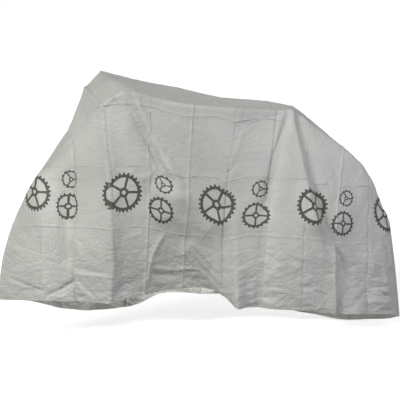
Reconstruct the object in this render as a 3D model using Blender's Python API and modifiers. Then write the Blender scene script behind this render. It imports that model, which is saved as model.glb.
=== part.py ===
"""Bicycle cover: one welded bag of thin film, draped over a wide front and a narrow rear peak.

X runs from the front edge to the rear edge, Y from the near side to the far side, and Z up from the
lowest point of the hem. Places along the film are counted in panels, the strips between the upright
creases that packing pressed into it. Run it with: blender --background --python part.py
"""

from collections import namedtuple

import bmesh
import bpy
import numpy as np

# Driving dimensions, in metres
FILM_THICKNESS = 0.002
WELD_DISTANCE = 0.00005

# The mesh: columns of points in each panel, and rows of points down a wall and across the top
PANELS = 11
COLUMNS_PER_PANEL = 6
WALL_ROWS = 14
TOP_ROWS = 6
SAG_SKEW = 0.66  # below 1 the top strip hangs lowest nearer its near side
SIDE_SHIFT = 0.0131  # the near side bulges further, so this brings the middle of the plan to the origin

FILM_COLOUR = (0.50, 0.50, 0.47, 1.0)
FILM_ROUGHNESS = 0.42

# The two ridges that bound the strip over the top, and how far the strip sags between them. A sharp row is a
# corner, where the smooth line through the rows breaks.
Crest = namedtuple("Crest", "name panel near_x near_y near_z far_x far_y far_z sag sharp")
CREST = (
    Crest("front edge", 0.0, -0.861, 0.000, 0.616, -0.861, 0.000, 0.616, 0.000, True),
    Crest("front slope, low", 1.0, -0.779, -0.035, 0.746, -0.770, 0.040, 0.760, 0.000, False),
    Crest("front slope, high", 2.0, -0.645, -0.125, 0.918, -0.622, 0.140, 0.955, 0.000, False),
    Crest("front corner", 3.0, -0.526, -0.250, 1.084, -0.512, 0.250, 1.142, 0.000, True),
    Crest("shoulder", 3.5, -0.418, -0.265, 1.153, -0.445, 0.265, 1.216, 0.000, True),
    Crest("hollow, front", 4.0, -0.311, -0.240, 1.127, -0.300, 0.245, 1.186, 0.036, False),
    Crest("hollow, middle", 5.0, -0.111, -0.190, 1.095, -0.100, 0.195, 1.142, 0.052, False),
    Crest("hollow, rear", 6.0, 0.097, -0.130, 1.068, 0.105, 0.138, 1.102, 0.036, False),
    Crest("hollow, end", 7.0, 0.300, -0.075, 1.053, 0.305, 0.087, 1.077, 0.016, False),
    Crest("rear peak", 7.5, 0.398, -0.050, 1.046, 0.428, 0.052, 1.053, 0.000, True),
    Crest("rear slope, high", 8.0, 0.487, -0.042, 0.998, 0.492, 0.042, 1.003, 0.000, False),
    Crest("rear slope, low", 9.0, 0.650, -0.036, 0.874, 0.652, 0.036, 0.876, 0.000, False),
    Crest("knee", 9.667, 0.747, -0.032, 0.791, 0.747, 0.032, 0.791, 0.000, True),
    Crest("rear drop", 10.0, 0.782, -0.028, 0.724, 0.782, 0.028, 0.724, 0.000, False),
    Crest("rear bend", 10.5, 0.842, -0.022, 0.610, 0.842, 0.022, 0.610, 0.000, False),
    Crest("rear turn", 10.833, 0.884, -0.014, 0.524, 0.884, 0.014, 0.524, 0.000, False),
    Crest("rear edge", 11.0, 0.899, 0.000, 0.494, 0.899, 0.000, 0.494, 0.000, True),
)

# How each side falls from its ridge, past the waist half way down, to the hem
Fall = namedtuple("Fall", "panel waist_x waist_y hem_x hem_y hem_z sharp")
NEAR_FALL = (
    Fall(0.0, -0.935, 0.000, -0.957, 0.000, 0.203, True),
    Fall(1.0, -0.778, -0.105, -0.789, -0.140, 0.218, False),
    Fall(2.0, -0.655, -0.180, -0.648, -0.216, 0.220, False),
    Fall(3.0, -0.505, -0.265, -0.501, -0.274, 0.217, True),
    Fall(4.0, -0.329, -0.240, -0.334, -0.238, 0.241, False),
    Fall(5.0, -0.151, -0.210, -0.149, -0.190, 0.256, False),
    Fall(5.8, -0.010, -0.196, -0.015, -0.188, 0.244, False),
    Fall(6.4, 0.100, -0.205, 0.080, -0.258, 0.170, False),
    Fall(7.0, 0.220, -0.215, 0.189, -0.268, 0.157, False),
    Fall(8.0, 0.415, -0.200, 0.398, -0.250, 0.143, False),
    Fall(9.0, 0.571, -0.160, 0.544, -0.205, 0.112, False),
    Fall(10.0, 0.757, -0.088, 0.740, -0.130, 0.086, False),
    Fall(10.5, 0.852, -0.066, 0.865, -0.090, 0.068, False),
    Fall(10.833, 0.898, -0.045, 0.925, -0.052, 0.050, False),
    Fall(11.0, 0.932, 0.000, 0.957, 0.000, 0.036, True),
)
FAR_FALL = (
    Fall(0.0, -0.935, 0.000, -0.957, 0.000, 0.203, True),
    Fall(1.0, -0.778, 0.098, -0.800, 0.125, 0.165, False),
    Fall(2.0, -0.650, 0.172, -0.655, 0.195, 0.114, False),
    Fall(3.0, -0.500, 0.245, -0.500, 0.238, 0.080, True),
    Fall(4.0, -0.329, 0.248, -0.330, 0.240, 0.098, False),
    Fall(5.0, -0.151, 0.222, -0.150, 0.236, 0.152, False),
    Fall(6.0, 0.029, 0.205, 0.030, 0.236, 0.148, False),
    Fall(7.0, 0.220, 0.206, 0.200, 0.245, 0.122, False),
    Fall(8.0, 0.415, 0.192, 0.400, 0.240, 0.080, False),
    Fall(9.0, 0.571, 0.154, 0.560, 0.205, 0.026, False),
    Fall(10.0, 0.757, 0.088, 0.745, 0.146, 0.000, False),
    Fall(10.5, 0.852, 0.066, 0.865, 0.096, 0.006, False),
    Fall(10.833, 0.898, 0.045, 0.922, 0.054, 0.016, False),
    Fall(11.0, 0.932, 0.000, 0.957, 0.000, 0.036, True),
)

# Folds that stand out from a wall (depth over 0) or dip into it, each a line that starts and ends at a panel
# and a share of the way down the wall. Widths are half widths, in panels.
Fold = namedtuple("Fold", "name panel_a down_a panel_b down_b depth_a depth_b width_a width_b")
NEAR_FOLDS = (
    Fold("corner ridge", 3.0, 0.00, 3.0, 1.00, 0.010, 0.014, 0.45, 0.60),
    Fold("shoulder trough", 3.55, 0.00, 4.5, 0.42, -0.010, -0.016, 0.30, 0.60),
    Fold("shoulder ridge", 3.80, 0.04, 5.0, 0.46, 0.006, 0.008, 0.30, 0.50),
    Fold("peak trough, front", 7.45, 0.00, 7.0, 0.34, -0.004, -0.014, 0.25, 0.45),
    Fold("peak ridge", 7.55, 0.00, 7.6, 0.45, 0.006, 0.012, 0.25, 0.40),
    Fold("peak trough, rear", 7.65, 0.00, 9.1, 0.66, -0.004, -0.018, 0.25, 0.45),
    Fold("waist hollow", 5.3, 0.45, 5.5, 1.00, -0.010, -0.024, 0.90, 0.90),
    Fold("step ridge", 6.15, 0.55, 6.4, 1.00, 0.004, 0.024, 0.40, 0.45),
    Fold("step trough", 6.90, 0.50, 7.0, 1.00, -0.004, -0.024, 0.50, 0.50),
    Fold("rear fullness", 7.8, 0.55, 7.9, 1.00, 0.004, 0.016, 0.80, 0.80),
    Fold("rear valley ridge", 8.95, 0.50, 9.0, 1.00, 0.006, 0.016, 0.35, 0.35),
    Fold("rear valley", 9.35, 0.48, 9.4, 1.00, -0.012, -0.030, 0.45, 0.50),
)
FAR_FOLDS = (
    Fold("corner ridge", 3.0, 0.00, 3.1, 1.00, 0.010, 0.018, 0.45, 0.60),
    Fold("shoulder trough", 3.55, 0.00, 4.6, 0.50, -0.008, -0.018, 0.30, 0.60),
    Fold("front valley", 4.2, 0.35, 4.4, 1.00, -0.004, -0.028, 0.50, 0.60),
    Fold("front fullness", 5.2, 0.40, 5.3, 1.00, 0.004, 0.020, 0.60, 0.60),
    Fold("middle valley", 6.2, 0.40, 6.1, 1.00, -0.004, -0.026, 0.55, 0.55),
    Fold("peak trough, front", 7.40, 0.00, 6.9, 0.40, -0.004, -0.012, 0.25, 0.45),
    Fold("peak trough, rear", 7.65, 0.00, 8.9, 0.60, -0.004, -0.016, 0.25, 0.45),
    Fold("rear fullness", 7.6, 0.45, 7.5, 1.00, 0.004, 0.018, 0.60, 0.70),
    Fold("rear valley", 8.6, 0.45, 8.5, 1.00, -0.004, -0.026, 0.50, 0.50),
    Fold("rear fullness, low", 9.4, 0.50, 9.3, 1.00, 0.004, 0.014, 0.45, 0.50),
)
FOLD_FADE = 0.12  # how far down the wall a fold takes to start and to end


def clear_scene():
    """Removes every object that the file holds."""
    for item in list(bpy.data.objects):
        bpy.data.objects.remove(item, do_unlink=True)


def cubic(knots, values, places):
    """A monotone cubic through the knots, which never swings past them."""
    steps = np.diff(knots)
    slopes = np.diff(values) / steps
    tangents = np.concatenate(([slopes[0]], np.zeros(len(knots) - 2), [slopes[-1]]))
    for k in range(1, len(knots) - 1):
        before, after = slopes[k - 1], slopes[k]
        if before * after > 0:
            weight_before = 2 * steps[k] + steps[k - 1]
            weight_after = steps[k] + 2 * steps[k - 1]
            total = weight_before + weight_after
            tangents[k] = total / (weight_before / before + weight_after / after)
    k = np.clip(np.searchsorted(knots, places, side="right") - 1, 0, len(steps) - 1)
    step = steps[k]
    t = (places - knots[k]) / step
    rise = values[k + 1] - values[k]
    ease = t * t * (3 - 2 * t)
    lead = t * (1 - t) ** 2 * step * tangents[k]
    trail = t * t * (t - 1) * step * tangents[k + 1]
    return values[k] + rise * ease + lead + trail


def along(table, column, places):
    """One column of a table at the given panels, smooth between its sharp rows."""
    panels = np.array([row.panel for row in table])
    values = np.array([getattr(row, column) for row in table])
    corners = [k for k, row in enumerate(table) if row.sharp]
    found = np.zeros(len(places))
    for first, last in zip(corners[:-1], corners[1:]):
        run = slice(first, last + 1)
        inside = (places >= panels[first]) & (places <= panels[last])
        found[inside] = cubic(panels[run], values[run], places[inside])
    return found


def ridge(side, places):
    """The points of one ridge of the crest."""
    return np.stack([along(CREST, f"{side}_{axis}", places) for axis in "xyz"], axis=-1)


def smooth_step(value):
    value = np.clip(value, 0.0, 1.0)
    return value * value * (3 - 2 * value)


def relief(folds, panels, down):
    """How far the folds lift a wall at the given panels and shares of the way down it."""
    lift = np.zeros(np.broadcast(panels, down).shape)
    for fold in folds:
        share = np.clip((down - fold.down_a) / (fold.down_b - fold.down_a), 0.0, 1.0)
        centre = fold.panel_a + (fold.panel_b - fold.panel_a) * share
        depth = fold.depth_a + (fold.depth_b - fold.depth_a) * share
        width = fold.width_a + (fold.width_b - fold.width_a) * share
        across = np.clip(np.abs(panels - centre) / width, 0.0, 1.0)
        starts = smooth_step((down - fold.down_a) / FOLD_FADE + 1)
        ends = smooth_step((fold.down_b - down) / FOLD_FADE + 1)
        lift += depth * (0.5 + 0.5 * np.cos(np.pi * across)) * starts * ends
    return lift


def wall(side, fall, folds, panels, down):
    """One side's points, as columns from its ridge (down is 0) to its hem (down is 1)."""
    top = ridge(side, panels)[:, None, :]
    waist_x, waist_y = (along(fall, f"waist_{axis}", panels)[:, None] for axis in "xy")
    hem = np.stack([along(fall, f"hem_{axis}", panels) for axis in "xyz"], axis=-1)[:, None, :]
    from_top = (1 - down) * (1 - 2 * down)
    from_waist = 4 * down * (1 - down)
    from_hem = down * (2 * down - 1)
    x = top[..., 0] * from_top + waist_x * from_waist + hem[..., 0] * from_hem
    y = top[..., 1] * from_top + waist_y * from_waist + hem[..., 1] * from_hem
    z = top[..., 2] * (1 - down) + hem[..., 2] * down
    run_x, run_y = np.gradient(x, axis=0), np.gradient(y, axis=0)
    length = np.hypot(run_x, run_y)
    outward = -1.0 if side == "near" else 1.0
    edge_fade = smooth_step(panels)[:, None] * smooth_step(PANELS - panels)[:, None]
    lift = relief(folds, panels[:, None], down) * edge_fade
    x = x - outward * lift * run_y / length
    y = y + outward * lift * run_x / length
    return np.stack([x, y, z], axis=-1)


def top_strip(near, far, panels, across):
    """The strip between the two ridges, sagging under its own weight."""
    sag = along(CREST, "sag", panels)[:, None]
    points = near[:, None, :] * (1 - across)[None, :, None] + far[:, None, :] * across[None, :, None]
    points[..., 2] -= sag * np.sin(np.pi * across**SAG_SKEW)
    return points


def cover_points():
    """The whole cover as a grid: columns from front to rear, each from the near hem over to the far hem."""
    panels = np.linspace(0.0, PANELS, PANELS * COLUMNS_PER_PANEL + 1)
    down = np.linspace(0.0, 1.0, WALL_ROWS + 1)[None, :]
    near = wall("near", NEAR_FALL, NEAR_FOLDS, panels, down)
    far = wall("far", FAR_FALL, FAR_FOLDS, panels, down)
    across = np.linspace(0.0, 1.0, TOP_ROWS + 1)[1:-1]
    strip = top_strip(near[:, 0], far[:, 0], panels, across)
    return np.concatenate([near[:, ::-1], strip, far], axis=1) + (0.0, SIDE_SHIFT, 0.0)


def film_material():
    material = bpy.data.materials.new("film")
    material.use_nodes = True
    shader = material.node_tree.nodes["Principled BSDF"]
    shader.inputs["Base Color"].default_value = FILM_COLOUR
    shader.inputs["Roughness"].default_value = FILM_ROUGHNESS
    shader.inputs["Metallic"].default_value = 0.0
    return material


def make_cover(collection):
    """The film as an open surface, closed along its welded front and rear edges, with its thickness inside."""
    points = cover_points()
    columns, rows = points.shape[:2]
    shape = bmesh.new()
    grid = [[shape.verts.new(point) for point in column] for column in points]
    for i in range(columns - 1):
        for j in range(rows - 1):
            shape.faces.new((grid[i][j], grid[i + 1][j], grid[i + 1][j + 1], grid[i][j + 1]))
    bmesh.ops.remove_doubles(shape, verts=shape.verts, dist=WELD_DISTANCE)
    mesh = bpy.data.meshes.new("cover")
    shape.to_mesh(mesh)
    shape.free()
    mesh.materials.append(film_material())
    mesh.shade_smooth()
    cover = bpy.data.objects.new("cover", mesh)
    collection.objects.link(cover)
    shell = cover.modifiers.new("film thickness", "SOLIDIFY")
    shell.thickness = FILM_THICKNESS
    shell.offset = -1.0
    shell.use_even_offset = True
    return cover


def main():
    clear_scene()
    collection = bpy.data.collections.new("bicycle_cover")
    bpy.context.scene.collection.children.link(collection)
    make_cover(collection)


main()
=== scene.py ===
"""Bicycle cover: the look of the draped film bag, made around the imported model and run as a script.

X runs from the front edge to the rear edge, Y from the near side to the far side and Z up, all in metres.
Places along the film are counted in panels, the strips between the upright creases that packing pressed into
it, and places up the film in metres from its hem.
"""

import math
from collections import namedtuple

import bpy
import numpy as np
from bpy.props import FloatProperty, FloatVectorProperty, PointerProperty
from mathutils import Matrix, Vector


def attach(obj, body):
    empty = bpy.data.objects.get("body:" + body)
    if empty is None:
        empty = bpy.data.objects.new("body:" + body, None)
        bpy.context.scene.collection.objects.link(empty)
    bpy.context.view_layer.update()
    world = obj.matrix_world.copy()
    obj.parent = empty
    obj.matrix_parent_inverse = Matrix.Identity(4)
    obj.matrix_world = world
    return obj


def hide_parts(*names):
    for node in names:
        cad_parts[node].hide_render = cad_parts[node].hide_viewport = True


bl_info = {
    "name": "Bicycle Cover",
    "version": (1, 0, 0),
    "blender": (4, 5, 0),
    "location": "3D View > Sidebar > Cover",
    "description": "A draped bicycle cover of thin film, with its packing creases and a printed band",
    "category": "Add Mesh",
}

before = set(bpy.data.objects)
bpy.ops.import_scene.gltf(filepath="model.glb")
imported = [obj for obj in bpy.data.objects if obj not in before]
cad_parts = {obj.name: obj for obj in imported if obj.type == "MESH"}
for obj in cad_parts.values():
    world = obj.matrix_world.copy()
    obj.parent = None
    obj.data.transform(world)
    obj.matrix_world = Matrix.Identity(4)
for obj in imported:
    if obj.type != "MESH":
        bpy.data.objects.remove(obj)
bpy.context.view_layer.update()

MM = 0.001


def listed(kind, *rows):
    """A table whose rows are all of one kind."""
    return [kind(*row) for row in rows]


# The film, laid flat
PANELS = 11
PANEL_WIDTH = 0.18
FLAT_HEIGHT = 1.13  # from the hem to the middle of the top
SIDE_SHIFT = 0.0131  # the near side bulges further, so this brings the middle of the plan to the origin

# The mesh: columns of points in each panel, rows down a wall and rows from a ridge to the middle of the top
COLUMNS_PER_PANEL = 24
COLUMN_CROWDING = 0.55  # how much closer the columns stand beside an upright crease
WALL_ROWS = 146
TOP_ROWS = 26
NEAR_RIDGE, MIDDLE, FAR_RIDGE = (WALL_ROWS + k * TOP_ROWS for k in range(3))
SAG_SKEW = 0.66  # below 1 the top strip hangs lowest nearer its near side

# The two ridges that bound the strip over the top, and how far the strip sags between them. A sharp row is a
# corner, where the smooth line through the rows breaks.
Crest = namedtuple("Crest", "panel near_x near_y near_z far_x far_y far_z sag sharp", defaults=(False,))
CREST = listed(
    Crest,
    (0, -0.861, 0, 0.616, -0.861, 0, 0.616, 0, True),  # front edge
    (1, -0.779, -0.035, 0.746, -0.77, 0.04, 0.76, 0),  # front slope, low
    (2, -0.645, -0.125, 0.918, -0.622, 0.14, 0.955, 0),  # front slope, high
    (3, -0.526, -0.25, 1.084, -0.512, 0.25, 1.142, 0, True),  # front corner
    (3.5, -0.418, -0.265, 1.153, -0.445, 0.265, 1.216, 0, True),  # shoulder
    (4, -0.311, -0.24, 1.127, -0.3, 0.245, 1.186, 0.008),  # hollow, front
    (5, -0.103, -0.2, 1.094, -0.1, 0.195, 1.142, 0.03),  # hollow, middle
    (6, 0.108, -0.148, 1.066, 0.105, 0.138, 1.102, 0.022),  # hollow, rear
    (7, 0.322, -0.071, 1.052, 0.305, 0.087, 1.077, 0.01),  # hollow, end
    (7.5, 0.398, -0.05, 1.044, 0.428, 0.052, 1.053, 0, True),  # rear peak
    (8, 0.487, -0.046, 0.978, 0.492, 0.042, 1.003, 0),  # rear slope, high
    (9, 0.65, -0.042, 0.852, 0.652, 0.036, 0.876, 0),  # rear slope, low
    (9.667, 0.747, -0.036, 0.776, 0.747, 0.032, 0.791, 0, True),  # knee
    (10, 0.782, -0.028, 0.724, 0.782, 0.028, 0.724, 0),  # rear drop
    (10.5, 0.842, -0.022, 0.61, 0.842, 0.022, 0.61, 0),  # rear bend
    (10.833, 0.884, -0.014, 0.524, 0.884, 0.014, 0.524, 0),  # rear turn
    (11, 0.899, 0, 0.494, 0.899, 0, 0.494, 0, True),  # rear edge
)

# How each side falls from its ridge, past the waist half way down, to the hem
Fall = namedtuple("Fall", "panel waist_x waist_y hem_x hem_y hem_z sharp", defaults=(False,))
NEAR_FALL = listed(
    Fall,
    (0, -0.935, 0, -0.957, 0, 0.203, True),
    (1, -0.778, -0.105, -0.789, -0.14, 0.218),
    (2, -0.666, -0.176, -0.648, -0.216, 0.22),
    (3, -0.494, -0.265, -0.501, -0.274, 0.217, True),
    (4, -0.324, -0.24, -0.334, -0.238, 0.237),
    (5, -0.143, -0.21, -0.149, -0.19, 0.25),
    (5.7, -0.015, -0.198, -0.03, -0.188, 0.24),
    (6, 0.04, -0.199, 0.014, -0.21, 0.204),
    (6.4, 0.114, -0.205, 0.08, -0.258, 0.168),
    (7, 0.236, -0.215, 0.189, -0.268, 0.157),
    (8, 0.412, -0.203, 0.38, -0.262, 0.143),
    (9, 0.571, -0.17, 0.544, -0.226, 0.112),
    (10, 0.757, -0.092, 0.74, -0.142, 0.086),
    (10.5, 0.852, -0.068, 0.865, -0.098, 0.068),
    (10.833, 0.898, -0.045, 0.925, -0.052, 0.05),
    (11, 0.932, 0, 0.957, 0, 0.036, True),
)
FAR_FALL = listed(
    Fall,
    (0, -0.935, 0, -0.957, 0, 0.203, True),
    (1, -0.778, 0.098, -0.8, 0.125, 0.165),
    (2, -0.65, 0.172, -0.655, 0.195, 0.114),
    (3, -0.5, 0.245, -0.5, 0.238, 0.08, True),
    (4, -0.329, 0.248, -0.33, 0.24, 0.098),
    (5, -0.151, 0.222, -0.15, 0.236, 0.152),
    (6, 0.029, 0.205, 0.03, 0.236, 0.148),
    (7, 0.22, 0.206, 0.2, 0.245, 0.122),
    (8, 0.415, 0.192, 0.4, 0.24, 0.08),
    (9, 0.571, 0.154, 0.56, 0.205, 0.026),
    (10, 0.757, 0.088, 0.745, 0.146, 0),
    (10.5, 0.852, 0.066, 0.865, 0.096, 0.006),
    (10.833, 0.898, 0.045, 0.922, 0.054, 0.016),
    (11, 0.932, 0, 0.957, 0, 0.036, True),
)

# Folds that stand out from a wall (depth over 0) or dip into it, each a line that starts and ends at a panel
# and a share of the way down the wall. Depths are in millimetres, widths are half widths in panels, and crisp
# is 0 for a round fold and 1 for one with a sharp edge.
Fold = namedtuple("Fold", "panel_a down_a panel_b down_b depth_a depth_b width_a width_b crisp")
NEAR_FOLDS = listed(
    Fold,
    (3, 0, 3, 1, 9, 6, 0.3, 0.35, 1),  # corner ridge
    (3.48, 0, 4.38, 0.4, -10, -26, 0.2, 0.46, 0.8),  # shoulder trough
    (3.64, 0.03, 4.8, 0.5, 10, 20, 0.2, 0.45, 0.5),  # shoulder ridge
    (1.84, 0.2, 1.88, 0.7, -10, -12, 0.36, 0.34, 0.5),  # front valley
    (3, 0.5, 3, 0.85, 14, 7, 0.9, 0.8, 0.6),  # corner bulge
    (4.3, 0.06, 4.6, 0.49, 4, 34, 1.55, 1.7, 0),  # belly, upper
    (4.6, 0.61, 4.9, 1, 34, 4, 1.7, 1.6, 0),  # belly, lower
    (4.8, 0.6, 4.9, 1, 0, -28, 1.3, 1.45, 0),  # waist hollow
    (5.85, 0.58, 5.9, 1, 0, -16, 0.7, 0.55, 0.4),  # waist hollow, rear
    (6.3, 0.55, 6.42, 1, 10, 40, 0.34, 0.42, 0.45),  # step ridge
    (6.7, 0.93, 6.7, 1, -10, -14, 0.2, 0.2, 0.8),  # step patch
    (6.96, 0.42, 6.98, 1, -10, -36, 0.42, 0.46, 0.8),  # step trough
    (7.4, 0, 7, 0.45, -10, -16, 0.2, 0.38, 0.9),  # peak trough, front
    (7.5, 0, 8.18, 0.48, 10, 24, 0.22, 0.42, 0.3),  # peak ridge
    (7.66, 0, 8.24, 0.31, -12, -22, 0.25, 0.42, 0.5),  # peak trough, rear
    (8.58, 0.43, 9.1, 0.6, -24, -20, 0.4, 0.3, 0.5),  # long trough
    (8.36, 0.52, 8.62, 0.66, 13, 9, 0.36, 0.3, 0.3),  # long trough, brow
    (7.6, 0.45, 7.9, 1, 8, 14, 0.8, 0.8, 0),  # rear fullness
    (9, 0.5, 9.02, 1, 6, 14, 0.35, 0.35, 0.6),  # rear valley ridge
    (9.26, 0.74, 9.12, 1, -16, -32, 0.2, 0.18, 0.7),  # rear valley
    (9.38, 0.72, 9.48, 0.88, -12, -14, 0.36, 0.42, 0.2),  # rear valley, wide
    (9.62, 0.88, 9.62, 1, 10, 22, 0.42, 0.5, 0),  # rear foot
    (9.95, 0.12, 10.05, 0.62, 6, 12, 0.5, 0.5, 0.3),  # knee fullness
)
FAR_FOLDS = listed(
    Fold,
    (3, 0, 3.1, 1, 10, 18, 0.45, 0.6, 0.5),  # corner ridge
    (3.55, 0, 4.6, 0.5, -8, -18, 0.3, 0.6, 0),  # shoulder trough
    (4.2, 0.35, 4.4, 1, -4, -28, 0.5, 0.6, 0.2),  # front valley
    (5.2, 0.4, 5.3, 1, 4, 20, 0.6, 0.6, 0),  # front fullness
    (6.2, 0.4, 6.1, 1, -4, -26, 0.55, 0.55, 0.2),  # middle valley
    (7.4, 0, 6.9, 0.4, -4, -12, 0.25, 0.45, 0),  # peak trough, front
    (7.65, 0, 8.9, 0.6, -4, -16, 0.25, 0.45, 0.2),  # peak trough, rear
    (7.6, 0.45, 7.5, 1, 4, 18, 0.6, 0.7, 0),  # rear fullness
    (8.6, 0.45, 8.5, 1, -4, -26, 0.5, 0.5, 0.3),  # rear valley
    (9.4, 0.5, 9.3, 1, 4, 14, 0.45, 0.5, 0),  # rear fullness, low
)
FOLD_FADE = 0.12  # how far down the wall a fold takes to start and to end

# How much each part of the film is crumpled, as a share of the settings
Rumple = namedtuple("Rumple", "panel near far")
RUMPLES = listed(
    Rumple,
    (0, 0.55, 1),
    (0.9, 0.4, 1),
    (4, 0.55, 0.9),
    (4.3, 0.9, 0.9),
    (5.8, 0.9, 0.9),
    (6.2, 0.45, 0.9),
    (7, 0.8, 0.9),
    (8, 0.8, 0.9),
    (9, 0.65, 0.9),
    (9.8, 0.8, 1),
    (10.3, 1.4, 1.2),
    (11, 1.7, 1.2),
)

# The upright packing creases at panels 1 to 10, in millimetres: how far the film at each stands out (over 0)
# or in, low (below the level crease at 0.33 m), in the middle (below the one at 0.60 m) and high, and how far
# a sharp line along the crease itself does, below 0.60 m and above
Upright = namedtuple("Upright", "low middle high line line_high")
NEAR_UPRIGHTS = listed(
    Upright,
    (14, 14, 6, -3, -1.6),
    (-22, -36, -16, -6, -3.6),
    (11, 12, 8, 4.4, 1.6),
    (-6, -8, -2, 4.4, 0.6),
    (-4, -4, -2, 3.6, 2.6),
    (-16, 5, 5, -6, -2.4),
    (-10, -10, -6, -6, -3.6),
    (3, 6, 2, -3.2, -2.6),
    (4, 2, 2, 3.6, 2.4),
    (-4, -2, -1, -3, -1.8),
)
FAR_UPRIGHTS = listed(
    Upright,
    (5, 3, 2, 2.4, 1.4),
    (-6, -5, -3, -3.2, -2),
    (5, 5, 4, 3.6, 2.6),
    (-5, -4, -3, -3.2, -1.8),
    (6, 4, 2.5, 3.2, 1.8),
    (-5, -4, -3, -3.6, -2),
    (4.5, 3, 2, 3, 1.8),
    (-5, -3, 2.5, -3, -1.6),
    (5, 2.5, -2.5, 3.4, 2),
    (-3, -2, 1.5, -2.6, -1.4),
)

# The level packing creases, at heights up the film: how far the film swings out or in over each, and how far
# its own sharp line stands out, in millimetres
Level = namedtuple("Level", "height swing line")
LEVELS = listed(
    Level,
    (0.06, 1.6, 1.2),
    (0.33, -4, 3),
    (0.6, 2.6, 0.9),
    (0.87, -3.4, 3.6),
)
LEVEL_REACH = 0.07
ROW_BLEND = 0.12  # how far the low, middle and high values run into each other
LINE_REACH = 0.004
LINE_WAVER = 0.002  # how far a level crease strays from its height

# Film that is drawn up out of sight under the near hem, so that creases and print hang lower there
Tuck = namedtuple("Tuck", "panel length")
DEEPEST_TUCK = 0.083
NEAR_TUCKS = listed(
    Tuck,
    (3.2, 0),
    (4, 0.027),
    (4.9, 0.07),
    (5.8, DEEPEST_TUCK),
    (6.5, 0.004),
    (7, 0),
)

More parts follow.
